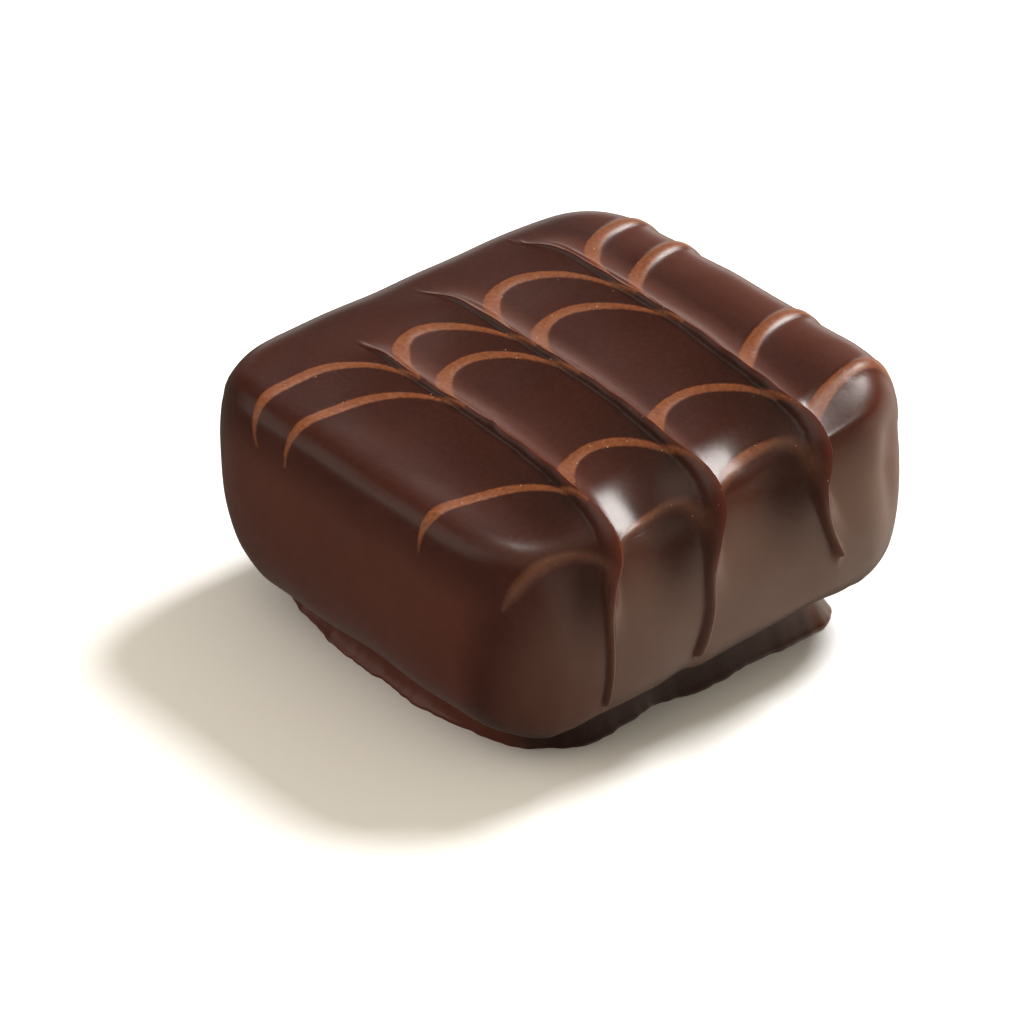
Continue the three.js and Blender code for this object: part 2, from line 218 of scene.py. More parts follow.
# painted shade: a darker coat on the left flank of each ridge, under the front edge left of each nose, and a
# painted shadow left of each drip
LEFT_FLANK_SHADE_AT_BACK = 0.28
LEFT_FLANK_SHADE_MORE_IN_FRONT = 0.5
LEFT_FLANK_SHADE_GROWS = (2, 9)
LEFT_FLANK_SHADE_COMES = (-4.2, -1)
CREST_LEFT_SIDE = (-0.3, 0)
UNDER_EDGE_SHADE = 0.8
UNDER_EDGE_COMES = (12, 14)
UNDER_EDGE_GOES = (15, 20)
UNDER_EDGE_LEFT = (-4.5, -1.5)
DRIP_SHADOW = 0.75
DRIP_BEGINS = (14, 16)
BESIDE_DRIP_OFFSET = -0.36
BESIDE_DRIP_HALF = 0.2
# painted sheen: a grey veil painted on the front wall and the front of the right wall, for the reflection of
# the bright floor
PAINTED_SHEEN = 0.8
FRONT_SHEEN_DOWN = (12, 17)
FRONT_SHEEN_ACROSS = (-30, -3)
RIGHT_SHEEN_ACROSS = (14, 17)
RIGHT_SHEEN_FADING = 0.9
RIGHT_SHEEN_FADES = (-2, 10)
SHEEN_ENDS = (23.5, 25)
CREST_RIGHT_SHIFT = 0.1
CREST_TONE_WIDTH = 0.6
CREST_TONE_ENDS = 0.2
DRIP_TONE_LOSS = 0.5
CREST_SHEEN_LOSS = 0.85
LINE_FADING = ((0.6, 10.5, 12.5), (0.4, 13.4, 15.4))  # share lost, and the stations it is lost between
LINE_KEEPS_FROM = (6.5, 8.5)
# the foot's shaded part, under the body's overhang, is painted darker and made duller
SHADED_FOOT_HEIGHTS = (1.5, 2.4)
SHADED_FOOT_COMES = (-6, 4)
SHADED_FOOT_GOES = (2, 9)
SHADED_FOOT_DARKENING = 0.9

# ---- Fineness of the skin
TOP_ROWS = 140
UPPER_ROWS = 48
LOWER_ROWS = 26
FOOT_ROWS = 22
LANE_COLUMNS = 60
SIDE_COLUMNS = 44
LANE_CROWDING = 2.2
SIDE_CROWDING = 1.9
COLUMN_PASSES = 10

# ---- Camera and floor
CAMERA_AZIMUTH = -39.043  # from straight in front towards the right
CAMERA_ELEVATION = 32.039
CAMERA_DISTANCE = 0.28004
CAMERA_TARGET = (-0.003338, -0.000162 + NOSE_OVERHANG / 2 * MM, 0.007)
LENS_MM = 195.25
NEAREST_SEEN = 0.01
FLOOR_REACH = 3.0


def ease(t, a, b):
    """Rises smoothly from 0 at a to 1 at b: the cubic 3w2 - 2w3 of the share w of the way."""
    w = np.clip((t - a) / (b - a), 0, 1)
    return w * w * (3 - 2 * w)


def band(t, comes, goes):
    """Rises to 1 between the two values of comes, and falls again between the two of goes."""
    return ease(t, *comes) * (1 - ease(t, *goes))


def hump(t, middle, half):
    """A bell of height 1 at middle that has fallen to 1/e at half on either side."""
    return np.exp(-(((t - middle) / half) ** 2))


def glide(t, places, values):
    """A smooth curve through a table: cubics whose slope at a knot is that between the knots beside it."""
    places = np.asarray(places, float)
    values = np.asarray(values, float)
    slopes = np.empty_like(values)
    slopes[1:-1] = (values[2:] - values[:-2]) / (places[2:] - places[:-2])
    slopes[0] = (values[1] - values[0]) / (places[1] - places[0])
    slopes[-1] = (values[-1] - values[-2]) / (places[-1] - places[-2])
    t = np.clip(t, places[0], places[-1])
    k = np.clip(np.searchsorted(places, t) - 1, 0, len(places) - 2)
    length = places[k + 1] - places[k]
    w = (t - places[k]) / length
    start = (1 + 2 * w) * (1 - w) ** 2 * values[k] + w * (1 - w) ** 2 * length * slopes[k]
    end = w * w * (3 - 2 * w) * values[k + 1] - w * w * (1 - w) * length * slopes[k + 1]
    return start + end


def wander(angle, waves):
    """The sum of sine waves round the body, each a count of turns, a size and a phase."""
    return sum(size * np.sin(turns * angle + phase) for turns, size, phase in waves)


def sharpness_at(p, q):
    """The power that shapes the corner nearest to p and q."""
    back = np.where(p > 0, CORNER_SHARPNESS["back_right"], CORNER_SHARPNESS["back_left"])
    front = np.where(p > 0, CORNER_SHARPNESS["front_right"], CORNER_SHARPNESS["front_left"])
    return np.where(q > 0, back, front)


def top_plan(p, q):
    """A rectangle for p and q from -1 to 1 whose sides draw in as a power of the other coordinate."""
    n = sharpness_at(p, q)
    draw = 1 / (n + 3)
    x = RIM_HALF_WIDTH * p * (1 - draw * np.abs(q) ** n * p * p)
    y = RIM_HALF_DEPTH * q * (1 - draw * np.abs(p) ** n * q * q)
    return x, y


def rim_normal(p, q, side):
    """The outward direction in plan at the top's rim: the rim's own direction, turned by a right angle."""
    n = sharpness_at(p, q)
    draw = 1 / (n + 3)
    if side in ("front", "back"):
        sign = 1 if side == "front" else -1
        along_x = sign * RIM_HALF_WIDTH * (1 - 3 * draw * p * p)
        along_y = -sign * RIM_HALF_DEPTH * q * draw * n * np.abs(p) ** (n - 1) * np.sign(p)
    else:
        sign = 1 if side == "right" else -1
        along_x = -sign * RIM_HALF_WIDTH * p * draw * n * np.abs(q) ** (n - 1) * np.sign(q)
        along_y = sign * RIM_HALF_DEPTH * (1 - 3 * draw * q * q)
    length = np.hypot(along_x, along_y)
    return along_y / length, -along_x / length


def wall_section():
    """The wall's section from the top's rim to the floor.

    Two quarter superellipses, rim to waist and waist to lip, and then the neck and foot from their table.
    run is outward of the rim, down the length along the section, out and up its normal, foot 0 to 1.
    """
    turn = np.linspace(0, np.pi / 2, UPPER_ROWS + 1)
    run = EDGE_RUN * np.sin(turn) ** (2 / UPPER_ROUNDNESS)
    share = np.clip(np.cos(turn), 0, 1) ** (2 / UPPER_ROUNDNESS)
    high = WAIST_HEIGHT + (TOP_HEIGHT - WAIST_HEIGHT) * share
    turn = np.linspace(0, np.pi / 2, LOWER_ROWS + 1)[1:]
    run = np.r_[run, EDGE_RUN * np.clip(np.cos(turn), 0, 1) ** (2 / LOWER_ROUNDNESS)]
    high = np.r_[high, WAIST_HEIGHT - (WAIST_HEIGHT - LIP_HEIGHT) * np.sin(turn) ** (2 / LOWER_ROUNDNESS)]
    foot = np.linspace(0, 1, FOOT_ROWS + 1)[1:]
    knots = np.linspace(0, 1, len(NECK_RUNS))
    run = np.r_[run, glide(foot, knots, NECK_RUNS)]
    high = np.r_[high, glide(foot, knots, NECK_HEIGHTS)]
    slope_run = np.gradient(run)
    slope_high = np.gradient(high)
    length = np.hypot(slope_run, slope_high)
    out = -slope_high / length
    up = slope_run / length
    out[0] = 0
    up[0] = 1
    return {
        "run": run,
        "high": high,
        "foot": np.r_[np.zeros(UPPER_ROWS + LOWER_ROWS + 1), foot],
        "out": out,
        "up": up,
        "down": np.r_[0, np.cumsum(np.hypot(np.diff(run), np.diff(high)))],
    }


def ridge_across(k, along):
    """Where ridge k lies across, at a length along."""
    return glide(-along, STATIONS, RIDGES_ACROSS[k])


def flank_share(offset, forward):
    """From 1 on a ridge's crest down to 0 at the reach of its flank, as the square of nearness."""
    left = glide(forward, STATIONS, LEFT_REACHES)
    right = glide(forward, STATIONS, RIGHT_REACHES)
    return np.clip(1 - np.abs(offset) / np.where(offset < 0, left, right), 0, 1) ** 2


def comb_relief(across, along):
    """Flanks that rise as the square of nearness to a crest, blunt crests on them, and troughs between."""
    forward = -along
    flank = glide(forward, STATIONS, FLANK_HEIGHTS)
    crest = glide(forward, STATIONS, CREST_HEIGHTS)
    half = glide(forward, STATIONS, CREST_HALF_WIDTHS)
    height = np.zeros_like(across)
    for k, (start, end) in enumerate(zip(RIDGE_STARTS, DRIP_ENDS)):
        offset = across - ridge_across(k, along)
        begun = ease(forward, start, start + RIDGE_RAMP)
        ended = ease(forward, end - DRIP_TIP, end)
        nearness = np.clip(1 - (offset / (half * (1 - DRIP_NARROWING * ended))) ** 2, 0, 1)
        height += FLANK_GAIN * flank * begun * flank_share(offset, forward)
        height += crest * begun * (1 - ended) * nearness**CREST_FULLNESS
    begun = ease(forward, RIDGE_STARTS[1], RIDGE_STARTS[1] + 2 * RIDGE_RAMP)
    combed = begun * band(across, TROUGHS_COME, TROUGHS_GO)
    return height - glide(forward, STATIONS, TROUGH_DEPTHS) * combed


def front_sag(across, along):
    """How far the coat sinks straight down beside each nose, where it ran off over the front edge."""
    sag = np.zeros_like(across)
    for k, (depth, begins, full, fades, gone) in enumerate(SAGS):
        offset = across - ridge_across(k, along)
        beside = band(offset, SAG_STARTS_OFF_RIDGE, (fades, gone))
        sag = np.maximum(sag, depth * beside * ease(-along, begins, full))
    return sag


def stand_back(across, along):
    """How far the front wall stands back from its plain place between the noses."""
    share = np.zeros_like(across)
    for k, fades in enumerate(STAND_BACK_FADES):
        offset = across - ridge_across(k, along)
        share = np.maximum(share, band(offset, STAND_BACK_STARTS, fades))
    return STAND_BACK * share * band(-along, STAND_BACK_COMES, STAND_BACK_GOES)


def line_half_width(f, lane):
    """Half the width of an arch at the angles f: wider in the left bend, and thinner towards its legs."""
    if lane == 0:
        left = LEFT_WALL_THINNING * ease(-f, -LEFT_WALL_THINS_FROM * f[0], -f[0])
    else:
        left = LEFT_LEG_THINNING * ease(-f, *LEFT_LEG_ANGLES) - BEND_WIDENING * ease(-f, *BEND_ANGLES)
    if lane == LAST_LANE:
        right = -RIGHT_EDGE_WIDENING * ease(f, *RIGHT_EDGE_ANGLES)
    else:
        right = RIGHT_LEG_THINNING * ease(f, *RIGHT_LEG_ANGLES)
    return LINE_HALF_WIDTH - left - right


def line_paths():
    """The middle of each arch and its half width, as arrays from the left leg to the right leg.

    The angle f runs from one side to the other. The line falls from its top as 1 - cos f, and goes
    across as sin f, out to the ridges as they lie at that height.
    """
    paths = []
    for row, line in enumerate(ARCHES):
        for lane, (top, share, left_drop, right_drop) in enumerate(line):
            first = LEFT_WALL_STARTS[row] if lane == 0 else -np.pi / 2
            last = RIGHT_WALL_END if lane == LAST_LANE else np.pi / 2
            f = np.linspace(first, last, LINE_POINTS)
            along = top - LINE_DROP - np.where(f < 0, left_drop, right_drop) * (1 - np.cos(f))
            left = np.full_like(f, -SIDE_REACH)
            right = np.full_like(f, SIDE_REACH)
            if lane > 0:
                left = ridge_across(lane - 1, along) + LEG_STARTS_RIGHT
            if lane < LAST_LANE:
                right = ridge_across(lane, along) - LEG_STOPS_LEFT
            middle = left + share * (right - left)
            across = middle + np.where(f < 0, middle - left, right - middle) * np.sin(f)
            half = line_half_width(f, lane)
            paths.append({"row": row, "lane": lane, "across": across, "along": along, "half": half})
    return paths


def line_reach(across, along, paths):
    """For each place: the distance from the nearest line's edge, below 0 inside, and the bead's height."""
    edge = np.full(across.shape, FAR_FROM_LINES)
    bead = np.zeros(across.shape)
    for path in paths:
        near = (across > path["across"].min() - NEAR_LINE) & (across < path["across"].max() + NEAR_LINE)
        near &= (along > path["along"].min() - NEAR_LINE) & (along < path["along"].max() + NEAR_LINE)
        places = np.where(near)[0]
        if len(places) == 0:
            continue
        start_x = path["across"][:-1]
        start_y = path["along"][:-1]
        step_x = np.diff(path["across"])
        step_y = np.diff(path["along"])
        from_x = across[places][:, None] - start_x
        from_y = along[places][:, None] - start_y
        share = np.clip((from_x * step_x + from_y * step_y) / (step_x**2 + step_y**2), 0, 1)
        away = np.hypot(from_x - share * step_x, from_y - share * step_y)
        half = path["half"][:-1] + share * np.diff(path["half"])
        nearest = (np.arange(len(places)), np.argmin(away - half, 1))
        gap = (away - half)[nearest]
        side = ease(across[places], *SIDE_LANE) if path["lane"] == LAST_LANE else 0
        spread = half[nearest] * (1 + SIDE_BEAD_WIDENING * side)
        full = ease(1 - (away[nearest] / spread) ** 2, 0, 1)
        high = BEAD_HEIGHT + (SIDE_BEAD_HEIGHT - BEAD_HEIGHT) * side
        better = gap < edge[places]
        edge[places] = np.where(better, gap, edge[places])
        bead[places] = np.where(better, high * full, bead[places])
    return edge, bead


def arch_along(path, across):
    """How far back the middle of an arch lies, at a place across."""
    order = np.argsort(path["across"])
    return np.interp(across, path["across"][order], path["along"][order])


def line_steps(across, along, paths):
    """Hollows in front of some lines, by the distance below the arch.

    Right of the last ridge the coat steps down in front of each line and climbs again to the next. In the
    left lane the wall is hollowed under the foremost arch.
    """
    height = np.zeros_like(across)
    for path in paths:
        below = arch_along(path, across) - along
        if path["lane"] == LAST_LANE and path["row"] < LAST_LINE:
            side = band(across, SIDE_LANE, SIDE_LANE_ENDS)
            height -= STEP_DOWN * side * band(below, STEP_COMES, STEP_GOES)
        if path["lane"] == 0 and path["row"] == LAST_LINE:
            first = path["across"].min()
            last = path["across"].max()
            inside = band(across, (first, first + HOLLOW_ENDS), (last - HOLLOW_ENDS, last))
            height -= LEFT_HOLLOW * inside * band(below, HOLLOW_COMES, HOLLOW_GOES)
    return height


def rolled_edge(across, along):
    """The roll that the coat has along the top's left edge, and a low swell behind it."""
    roll = ROLLED_EDGE * band(across, ROLLED_EDGE_COMES, ROLLED_EDGE_GOES)
    swell = BACK_SWELL * hump(across, BACK_SWELL_ACROSS, BACK_SWELL_HALF)
    return roll * (1 - ease(-along, *ROLLED_EDGE_STOPS)) + swell * ease(along, *BACK_SWELL_COMES)


def comb_streaks(across, along):
    """Fine streaks that run beside the crests, and a slow waver of the crests themselves."""
    height = np.zeros_like(across)
    for k, start in enumerate(RIDGE_STARTS):
        offset = across - ridge_across(k, along)
        worked = band(-along, (start + STREAKS_BEGIN[0], start + STREAKS_BEGIN[1]), STREAKS_STOP)
        wobble = STREAK_WOBBLE * np.sin(STREAK_WOBBLE_RATE * along + STREAK_PHASE * k)
        for high, right, half in STREAKS:
            height += worked * high * hump(offset, right + wobble, half)
        waver = CREST_WAVER * np.sin(CREST_WAVER_RATE * along + k)
        height += worked * waver * hump(offset, 0, CREST_WAVER_HALF)
    return height


def set_drops(across, along):
    """Drops that set on the ridges: a blip half way along the first, and the bulb of the last drip."""
    height = np.zeros_like(across)
    for k, station, right, high, half_across, half_along in DROPS:
        across_share = hump(across, ridge_across(k, along) + right, half_across)
        height += high * across_share * hump(-along, station, half_along)
    return height


def slow_swells(across, along):
    """The coat's slow unevenness: products of a sine across, which may meander, and a sine along."""
    height = np.zeros_like(across)
    for high, rate_across, phase_across, meander, rate_along, phase_along in SWELLS:
        turn = rate_across * across + phase_across + meander * np.sin(MEANDER_RATE * along)
        height += high * np.sin(turn) * np.sin(rate_along * along + phase_along)
    return height


def lane_columns():
    """Lane places from 0 at the left side to 4 at the right, crowded towards the ridges at 1, 2 and 3."""
    s = np.linspace(-1, 1, LANE_COLUMNS + 1)
    inner = (np.sign(s) * (1 - (1 - np.abs(s)) ** LANE_CROWDING) + 1) / 2
    outer = np.linspace(0, 1, SIDE_COLUMNS + 1) ** SIDE_CROWDING
    return np.concatenate([1 - outer[::-1], 1 + inner[1:], 2 + inner[1:], 3 + outer[1:]])


def column_places(columns, q, down):
    """The p of each lane column in a row, moved until each ridge column lies on its ridge."""
    q, down = np.broadcast_arrays(np.asarray(q, float), np.asarray(down, float))
    forward = -RIM_HALF_DEPTH * q + down
    edges = [-np.ones_like(forward)]
    for k in range(len(RIDGES_ACROSS)):
        target = ridge_across(k, -forward)
        p = target / RIM_HALF_WIDTH
        for _ in range(COLUMN_PASSES):
            reached = top_plan(p, q)[0] + np.where(down > 0, rim_normal(p, q, "front")[0] * down, 0)
            p = p + (target - reached) / (RIM_HALF_WIDTH + down)
        edges.append(p)
    edges.append(np.ones_like(forward))
    edges = np.stack(edges, -1)
    lane = np.clip(columns.astype(int), 0, LAST_LANE)
    return edges[:, lane] + (columns - lane) * (edges[:, lane + 1] - edges[:, lane])


def coat_relief(across, along, paths):
    """All the coat's relief at places on the unrolled skin, and the distance from the lines' edges."""
    shape = across.shape
    across = across.ravel()
    along = along.ravel()
    edge, height = line_reach(across, along, paths)
    for relief in (comb_relief, rolled_edge, comb_streaks, set_drops, slow_swells):
        height += relief(across, along)
    height += line_steps(across, along, paths)
    return height.reshape(shape), edge.reshape(shape)


def top_patch(p, q, paths):
    """The top's points, and their places on the unrolled skin with the distance from the lines."""
    x, y = top_plan(p, q)
    height, edge = coat_relief(x, y, paths)
    high = TOP_HEIGHT + TOP_LEAN_X * x + TOP_LEAN_Y * y + height - front_sag(x, y)
    return np.stack([x, y, high], -1), np.stack([x, y, edge], -1)


def wall_side(p, q, side, section, paths):
    """One wall's points and skin places: the rim moved out along its normal, level by level."""
    run, high, foot, out, up, down = (
        section[name][:, None] for name in ("run", "high", "foot", "out", "up", "down")
    )
    rim_x, rim_y = top_plan(p, q)
    normal_x, normal_y = rim_normal(p, q, side)
    angle = np.arctan2(rim_y, rim_x)
    turn = (np.degrees(angle) - 90) % 360
    across = rim_x + normal_x * down
    along = rim_y + normal_y * down
    height, edge = coat_relief(across, along, paths)
    roll = LIP_ROLL * hump(high, LIP_HEIGHT + LIP_ROLL_ABOVE, LIP_ROLL_HALF_HEIGHT)
    height = height * (1 - ease(foot, 0, RELIEF_ENDS)) + roll * (1 - ease(foot, 0, ROLL_ENDS))
    tucked = np.where(foot > 0, run * glide(turn, NECK_TURNS, NECK_SHARES), run)
    spread = glide(turn, FOOT_TURNS, FOOT_SPREADS) + wander(angle, FOOT_RAGS)
    reach = tucked + out * height + spread * ease(foot, *FOOT_SPREADS_OVER) - stand_back(across, along)
    upper_share = np.clip((high - WAIST_HEIGHT) / (TOP_HEIGHT - WAIST_HEIGHT), 0, 1)
    lean = TOP_LEAN_X * (rim_x + normal_x * run) + TOP_LEAN_Y * (rim_y + normal_y * run)
    below_waist = 1 - ease(high, LIP_HEIGHT, WAIST_HEIGHT - EDGE_RUN)
    lift = glide(turn, LIP_TURNS, LIP_RISES) * below_waist * np.clip(high / LIP_HEIGHT, 0, 1)
    level = high + upper_share * (lean - front_sag(across, along)) + up * height + lift
    points = np.stack([rim_x + normal_x * reach, rim_y + normal_y * reach, level], -1)
    return points, np.stack([across, along, edge], -1)


def wall_rings(top_p, q, columns, paths):
    """The rings of points down the walls, counterclockwise from the front left corner, and their skin."""
    section = wall_section()
    rows = len(section["run"])
    front = column_places(columns, -1.0, section["down"])
    back = np.repeat(top_p[-1][None], rows, 0)
    ones = np.ones((rows, len(q)))
    sides = (
        ("front", front, -np.ones_like(front)),
        ("right", ones, ones * q),
        ("back", back[:, ::-1], np.ones_like(back)),
        ("left", -ones, ones * q[::-1]),
    )
    walls = [wall_side(p[:, :-1], side_q[:, :-1], side, section, paths) for side, p, side_q in sides]
    points = np.concatenate([wall_points for wall_points, _ in walls], 1)
    return points, np.concatenate([wall_skin for _, wall_skin in walls], 1)


def coat_points():
    """The coat's points, their places on the unrolled skin, and the faces of the skin and the underside.

    The first ring is the top's own rim. The underside is a fan about the middle of the floor.
    """
    paths = line_paths()
    columns = lane_columns()
    q = np.linspace(-1, 1, TOP_ROWS + 1)
    top_p = column_places(columns, q, 0)
    top, top_skin = top_patch(top_p, np.repeat(q[:, None], len(columns), 1), paths)
    rings, ring_skin = wall_rings(top_p, q, columns, paths)

    rows, count = rings.shape[:2]
    patch = np.arange(top_p.size).reshape(top_p.shape)
    rim = np.concatenate([patch[0, :-1], patch[:-1, -1], patch[-1, :0:-1], patch[:0:-1, 0]])
    ring = np.vstack([rim, patch.size + np.arange((rows - 1) * count).reshape(rows - 1, count)])
    floor_middle = [0, 0, 0]
    far_skin = [OFF_THE_SKIN, OFF_THE_SKIN, FAR_FROM_LINES]
    points = np.vstack([top.reshape(-1, 3), rings[1:].reshape(-1, 3), [floor_middle]])
    skin = np.vstack([top_skin.reshape(-1, 3), ring_skin[1:].reshape(-1, 3), [far_skin]])
    points[:, 1] += NOSE_OVERHANG / 2

    beside = np.roll(ring, -1, 1)
    top_quads = np.stack([patch[:-1, :-1], patch[:-1, 1:], patch[1:, 1:], patch[1:, :-1]], -1)
    wall_quads = np.stack([ring[1:], beside[1:], beside[:-1], ring[:-1]], -1)
    under = np.stack([np.full(count, len(points) - 1), beside[-1], ring[-1]], -1)
    return points, skin, np.vstack([top_quads.reshape(-1, 4), wall_quads.reshape(-1, 4)]), under


def linear(hex_colour):
    """The linear red, green, blue and alpha of an sRGB colour written as rrggbb."""
    parts = [int(hex_colour[i : i + 2], 16) / 255 for i in (0, 2, 4)]
    return tuple(c / 12.92 if c <= 0.04045 else ((c + 0.055) / 1.055) ** 2.4 for c in parts) + (1.0,)


def node(tree, kind, inputs, output=0, **settings):
    """Adds a node with its settings, gives each input a number, colour or link, and returns an output."""
    made = tree.nodes.new(kind)
    for name, value in settings.items():
        setattr(made, name, value)
    for name, value in inputs.items():
        if isinstance(value, bpy.types.NodeSocket):
            tree.links.new(value, made.inputs[name])
        else:
            made.inputs[name].default_value = value
    return made.outputs[output]


def new_material(name):
    """An empty node material, its tree and its principled shader."""
    material = bpy.data.materials.new(name)
    material.use_nodes = True
    tree = material.node_tree
    return material, tree, tree.nodes["Principled BSDF"]


def coat_colour(tree, layers, clouds, grain):
    """Dark chocolate: redder where worked; lighter and redder as painted light, darker as painted shade,
    greyer as painted sheen.
    """
    cloud_share = node(tree, "ShaderNodeMapRange", {0: clouds, 1: 0.35, 2: 0.65})
    crest_share = node(tree, "ShaderNodeMath", {0: layers["crest"], 1: 0.7}, operation="MULTIPLY")
    grain_share = node(tree, "ShaderNodeMapRange", {0: grain, 1: 0.4, 2: 0.75, 3: 0.0, 4: 0.12})
    colour = linear("2e110a")
    for share, tone in (
        (cloud_share, "36160d"),
        # painted light: lighter and redder
        (layers["painted_light"], "5a2d20"),
        # painted shade: darker
        (layers["painted_shade"], "25110a"),
        # painted sheen: greyer
        (layers["painted_sheen"], "52392d"),
        (crest_share, "5e2819"),
        (grain_share, "55301f"),
    ):
        colour = node(tree, "ShaderNodeMix", {0: share, 6: colour, 7: linear(tone)}, 2, data_type="RGBA")
    return colour


def milk_colour(tree, grain, strength):
    """Milk chocolate: warm tan and sandy, and browner where the line has sunk into the dark coat."""
    sand = node(tree, "ShaderNodeMapRange", {0: grain, 1: 0.3, 2: 0.7})
    tan = node(
        tree, "ShaderNodeMix", {0: sand, 6: linear("60311b"), 7: linear("794626")}, 2, data_type="RGBA"
    )
    return node(tree, "ShaderNodeMix", {0: strength, 6: linear("6b4c3c"), 7: tan}, 2, data_type="RGBA")


def milk_share(tree, place, edge, strength):
    """Where the milk chocolate lies: inside the lines' edges, a little torn, and soft where a line fades."""
    # clots of 0.35 mm move the edge by up to 0.04 mm either way
    clot_inputs = {"Vector": place, "Scale": 1 / (0.35 * MM), "Detail": 2.0}
    clots = node(tree, "ShaderNodeTexNoise", clot_inputs, "Fac")
    torn = node(tree, "ShaderNodeMath", {0: clots, 1: 0.08, 2: -0.04}, operation="MULTIPLY_ADD")
    ragged = node(tree, "ShaderNodeMath", {0: edge, 1: torn}, operation="ADD")
    soft = node(tree, "ShaderNodeMix", {0: strength, 2: 0.4, 3: 0.06}, data_type="FLOAT")
    sharp = node(tree, "ShaderNodeMath", {0: soft, 1: -1.0}, operation="MULTIPLY")
    return node(tree, "ShaderNodeMapRange", {0: ragged, 1: soft, 2: sharp, 3: 0.0, 4: strength})


def pale_specks(tree, place, edge, strength, crest):
    """Pale specks of crystallised sugar and burst bubbles, in a third of the 0.42 mm cells on crests and
    lines.
    """
    cell_inputs = {"Vector": place, "Scale": 1 / (0.42 * MM), "Randomness": 1.0}
    distance = node(tree, "ShaderNodeTexVoronoi", cell_inputs, "Distance")
    cell_colour = node(tree, "ShaderNodeTexVoronoi", cell_inputs, "Color")
    near_line = node(tree, "ShaderNodeMapRange", {0: edge, 1: 0.3, 2: 0.0, 3: 0.0, 4: strength})
    spotty = node(tree, "ShaderNodeMath", {0: near_line, 1: crest}, operation="MAXIMUM")
    draw = node(tree, "ShaderNodeSeparateColor", {0: cell_colour})
    chosen = node(tree, "ShaderNodeMapRange", {0: draw, 1: 0.66, 2: 0.7, 3: 0.0, 4: spotty})
    return node(tree, "ShaderNodeMapRange", {0: distance, 1: 0.11, 2: 0.06, 3: 0.0, 4: chosen})


def enrobed_chocolate():
    """Tempered dark chocolate, poured on and set in air: a satin gloss, fine orange peel and a soft grain.

    Milk chocolate was drawn into it while both were wet, so the lines are as smooth but a little duller.
    """
    material, tree, shader = new_material("enrobed_chocolate")
    place = node(tree, "ShaderNodeTexCoord", {}, "Object")
    names = ("line_edge", "crest", "line_strength", "painted_light", "painted_shade", "painted_sheen", "foot")
    layers = {name: node(tree, "ShaderNodeAttribute", {}, "Fac", attribute_name=name) for name in names}
    edge = layers["line_edge"]
    strength = layers["line_strength"]

    # noises by the size of their lumps: clouds of 7 mm, orange peel of 1.6 mm and grain of 0.22 mm
    cloud_inputs = {"Vector": place, "Scale": 1 / (7.0 * MM), "Detail": 2.0}
    clouds = node(tree, "ShaderNodeTexNoise", cloud_inputs, "Fac")
    peel_inputs = {"Vector": place, "Scale": 1 / (1.6 * MM), "Detail": 2.0}
    peel = node(tree, "ShaderNodeTexNoise", peel_inputs, "Fac")
    grain_inputs = {"Vector": place, "Scale": 1 / (0.22 * MM), "Detail": 3.0, "Roughness": 0.6}
    grain = node(tree, "ShaderNodeTexNoise", grain_inputs, "Fac")

    milk = milk_share(tree, place, edge, strength)
    specks = pale_specks(tree, place, edge, strength, layers["crest"])
    dark = coat_colour(tree, layers, clouds, grain)
    tan = milk_colour(tree, grain, strength)
    colour = node(tree, "ShaderNodeMix", {0: milk, 6: dark, 7: tan}, 2, data_type="RGBA")
    pale = node(tree, "ShaderNodeMath", {0: specks, 1: 0.6}, operation="MULTIPLY")
    colour = node(tree, "ShaderNodeMix", {0: pale, 6: colour, 7: linear("d8b496")}, 2, data_type="RGBA")
    tree.links.new(colour, shader.inputs["Base Color"])

    # roughness 0.3, and duller with the grain, on the milk lines and on the shaded part of the foot
    rough = node(tree, "ShaderNodeMath", {0: grain, 1: 0.08, 2: 0.3}, operation="MULTIPLY_ADD")
    rough = node(tree, "ShaderNodeMath", {0: milk, 1: 0.06, 2: rough}, operation="MULTIPLY_ADD")
    rough = node(tree, "ShaderNodeMath", {0: layers["foot"], 1: 0.3, 2: rough}, operation="MULTIPLY_ADD")
    tree.links.new(rough, shader.inputs["Roughness"])
    shader.inputs["IOR"].default_value = 1.31

    # the bump's heights, in millimetres
    high = node(tree, "ShaderNodeMath", {0: peel, 1: 0.012}, operation="MULTIPLY")
    high = node(tree, "ShaderNodeMath", {0: grain, 1: 0.004, 2: high}, operation="MULTIPLY_ADD")
    high = node(tree, "ShaderNodeMath", {0: specks, 1: 0.02, 2: high}, operation="MULTIPLY_ADD")
    bump = node(tree, "ShaderNodeBump", {"Height": high, "Distance": MM, "Strength": 1.0})
    tree.links.new(bump, shader.inputs["Normal"])
    return material


def painted_light(across, along):
    """The share of painted light, a lighter and redder coat: right of each ridge, on the left wall and foot,
    and at the right edge.
    """
    forward = -along
    # painted light on the left wall, the left foot, the right edge and, below, right of each ridge
    lit_share = LEFT_WALL_LIGHT * ease(across, *LEFT_WALL) * (1 - ease(forward, *LEFT_WALL_STOPS))
    lit_share = np.maximum(lit_share, LEFT_FOOT_LIGHT * ease(across, *LEFT_FOOT))
    lit_share = np.maximum(lit_share, RIGHT_EDGE_LIGHT * ease(across, *RIGHT_EDGE))
    for k, start in enumerate(RIDGE_STARTS):
        offset = across - ridge_across(k, along)
        begun = band(forward, (start, start + TONES_RAMP), TONES_STOP)
        lit_share = np.maximum(lit_share, RIGHT_FLANK_LIGHT * begun * band(offset, COMBED_COMES, COMBED_GOES))
    return lit_share


